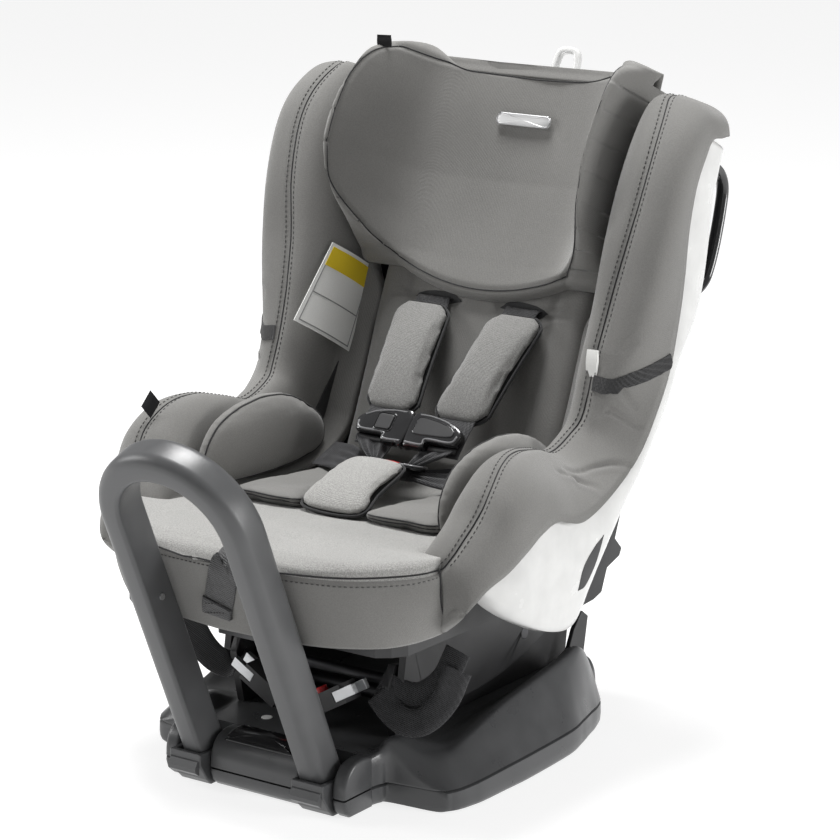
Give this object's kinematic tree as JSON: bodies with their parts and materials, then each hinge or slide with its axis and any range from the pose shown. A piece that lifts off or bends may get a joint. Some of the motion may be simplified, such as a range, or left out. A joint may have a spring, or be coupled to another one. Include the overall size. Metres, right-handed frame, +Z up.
{
  "type": "convertible car seat",
  "caption": "Forward- and rear-facing child car seat: reclining padded bucket on a low base, sliding headrest, five-point harness and a front anti-rebound bar.",
  "frame": {"origin": "on the floor, at the middle of the base's flat underside", "axes": "+Z up, -Y the way the seated child faces, +X the child's left"},
  "size_m": [0.474, 0.6602, 0.6402],
  "materials": {
    "charcoal_plastic": "fine moulded texture, satin",
    "bar_plastic": "soft satin",
    "dark_plastic": "moulded, matte",
    "black_gloss": "polished black",
    "white_gloss": "glossy white shell",
    "rubber": "matte",
    "steel": "zinc plated",
    "silver_paint": "satin",
    "red_plastic": "satin red",
    "cover_fabric": "smooth tight knit",
    "jersey_fabric": "melange jersey",
    "foam": "open-cell foam",
    "webbing": "woven polyester webbing",
    "trim_label": "blank label",
    "badge_metal": "satin blank badge"
  },
  "bodies": {
    "base": {"base_tray": "charcoal_plastic", "base_pads": "rubber", "base_screws": "steel", "base_cover": "charcoal_plastic", "front_cap": "charcoal_plastic", "cap_ends": "charcoal_plastic", "bar_sockets": "charcoal_plastic", "name_plate": "black_gloss", "recline_rails": "dark_plastic", "rear_tower": "dark_plastic", "cross_tubes": "steel", "latch_housings": "dark_plastic", "latch_hooks": "silver_paint", "latch_straps": "webbing"},
    "latch_button_left": {"latch_button_left": "red_plastic"},
    "latch_button_right": {"latch_button_right": "red_plastic"},
    "rebound_bar": {"rebound_bar": "bar_plastic", "bar_rivets": "steel"},
    "seat": {"seat_shell": "dark_plastic", "side_shell_left": "white_gloss", "side_shell_right": "white_gloss", "carriage_plates": "dark_plastic", "recline_axles": "steel", "wing_left": "cover_fabric", "wing_right": "cover_fabric", "seat_cushion": "cover_fabric", "insert_left": "cover_fabric", "insert_right": "cover_fabric", "hip_bolster_left": "cover_fabric", "hip_bolster_right": "cover_fabric", "back_foam": "foam", "back_pad": "cover_fabric", "rear_grips": "black_gloss", "elastic_bands": "webbing", "seat_trim": "trim_label", "guide_bushings": "dark_plastic", "adjuster_housing": "dark_plastic", "strap_tail": "webbing", "crotch_pad": "jersey_fabric", "buckle": "dark_plastic", "buckle_tongues": "black_gloss", "lap_straps": "webbing", "shoulder_straps": "webbing"},
    "recline_handle": {"recline_handle": "dark_plastic"},
    "harness_release": {"harness_release": "steel"},
    "buckle_button": {"buckle_button": "red_plastic"},
    "headrest": {"headrest_board": "dark_plastic", "headrest_cushion": "cover_fabric", "headrest_wings": "cover_fabric", "headrest_slot_pad": "cover_fabric", "headrest_badge": "badge_metal", "headrest_rods": "steel", "shoulder_pad_left": "jersey_fabric", "shoulder_pad_right": "jersey_fabric", "upper_straps": "webbing"},
    "headrest_handle": {"headrest_handle": "white_gloss"},
    "chest_clip": {"chest_clip": "black_gloss"},
    "chest_clip_button": {"chest_clip_button": "black_gloss"}
  },
  "joints": [
    {"name": "seat_recline", "type": "hinge", "parent": "base", "child": "seat", "pos_m": [0, -0.04, 0.43], "axis": [1, 0, 0], "range_deg": [0, 12]},
    {"name": "rebound_bar_slide", "type": "slide", "parent": "base", "child": "rebound_bar", "axis": [0, -0.3939, 0.9191], "range_m": [0, 0.1]},
    {"name": "latch_button_left_press", "type": "slide", "parent": "base", "child": "latch_button_left", "axis": [-0.5, 0, -0.866], "range_m": [0, 0.003], "stiffness_N_per_m": 400, "springref_m": -0.001},
    {"name": "latch_button_right_press", "type": "slide", "parent": "base", "child": "latch_button_right", "axis": [0.5, 0, -0.866], "range_m": [0, 0.003], "stiffness_N_per_m": 400, "springref_m": -0.001},
    {"name": "recline_handle_pull", "type": "slide", "parent": "seat", "child": "recline_handle", "axis": [0, -1, 0], "range_m": [0, 0.012], "stiffness_N_per_m": 500, "springref_m": -0.004},
    {"name": "harness_release_press", "type": "slide", "parent": "seat", "child": "harness_release", "axis": [0, 0, -1], "range_m": [0, 0.003], "stiffness_N_per_m": 500, "springref_m": -0.001},
    {"name": "buckle_button_press", "type": "slide", "parent": "seat", "child": "buckle_button", "axis": [0, -0.3746, -0.9272], "range_m": [0, 0.003], "stiffness_N_per_m": 500, "springref_m": -0.001},
    {"name": "headrest_height", "type": "slide", "parent": "seat", "child": "headrest", "axis": [0, 0.3907, 0.9205], "range_m": [0, 0.13]},
    {"name": "headrest_handle_pull", "type": "slide", "parent": "headrest", "child": "headrest_handle", "axis": [0, 0.3907, 0.9205], "range_m": [0, 0.008], "stiffness_N_per_m": 500, "springref_m": -0.003},
    {"name": "chest_clip_slide", "type": "slide", "parent": "seat", "child": "chest_clip", "axis": [0, -0.6896, -0.7242], "range_m": [0, 0.016]},
    {"name": "chest_clip_button_press", "type": "slide", "parent": "chest_clip", "child": "chest_clip_button", "axis": [0, 0.7242, -0.6896], "range_m": [0, 0.002], "stiffness_N_per_m": 400, "springref_m": -0.001}
  ]
}
